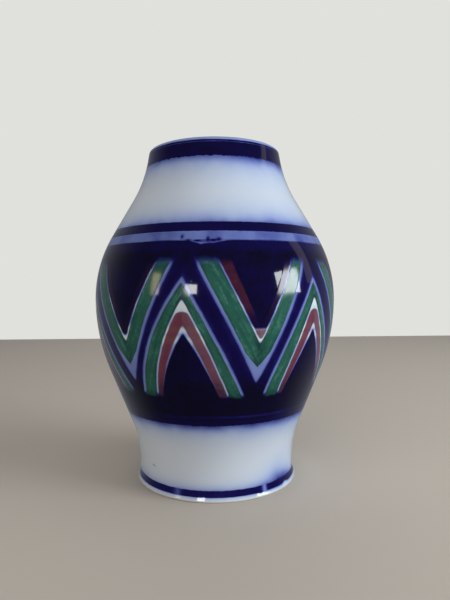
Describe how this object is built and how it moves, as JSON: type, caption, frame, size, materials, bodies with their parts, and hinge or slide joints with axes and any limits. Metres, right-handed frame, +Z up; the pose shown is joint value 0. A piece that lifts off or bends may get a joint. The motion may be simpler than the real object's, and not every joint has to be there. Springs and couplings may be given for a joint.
{
  "type": "vase",
  "caption": "Small baluster-shaped porcelain vase with a flared mouth, narrow recessed foot and a dark painted belly with green and red chevrons.",
  "frame": {"origin": "centre of the foot ring, on the plane the vase stands on", "axes": "+Z up along the axis the vase was thrown on, -Y towards the viewer, +X to the viewer's right"},
  "size_m": [0.11, 0.11, 0.15],
  "materials": {
    "biscuit_porcelain": "fired hard-paste porcelain, unglazed and slightly rough where it is bare on the foot ring",
    "clear_glaze": "clear glossy glaze over white porcelain, with a faint blue cast from the cobalt",
    "cobalt_glaze": "glossy glaze dyed near-black cobalt blue, brushed on by hand",
    "pale_cobalt_glaze": "glossy glaze dyed a pale, uneven cobalt blue",
    "green_glaze": "glossy glaze with translucent brushed green enamel",
    "red_glaze": "glossy glaze with brushed iron-red enamel, fading to pink"
  },
  "bodies": {
    "root": {"porcelain_body": "biscuit_porcelain", "inner_glaze": "clear_glaze", "rim_band": "cobalt_glaze", "neck_glaze": "clear_glaze", "shoulder_line": "cobalt_glaze", "pale_line": "pale_cobalt_glaze", "belly_field": "cobalt_glaze", "pale_outlines": "pale_cobalt_glaze", "green_strokes": "green_glaze", "red_strokes": "red_glaze", "lower_glaze": "clear_glaze", "foot_band": "cobalt_glaze", "foot_edge_glaze": "clear_glaze", "underside_glaze": "clear_glaze"}
  },
  "joints": []
}
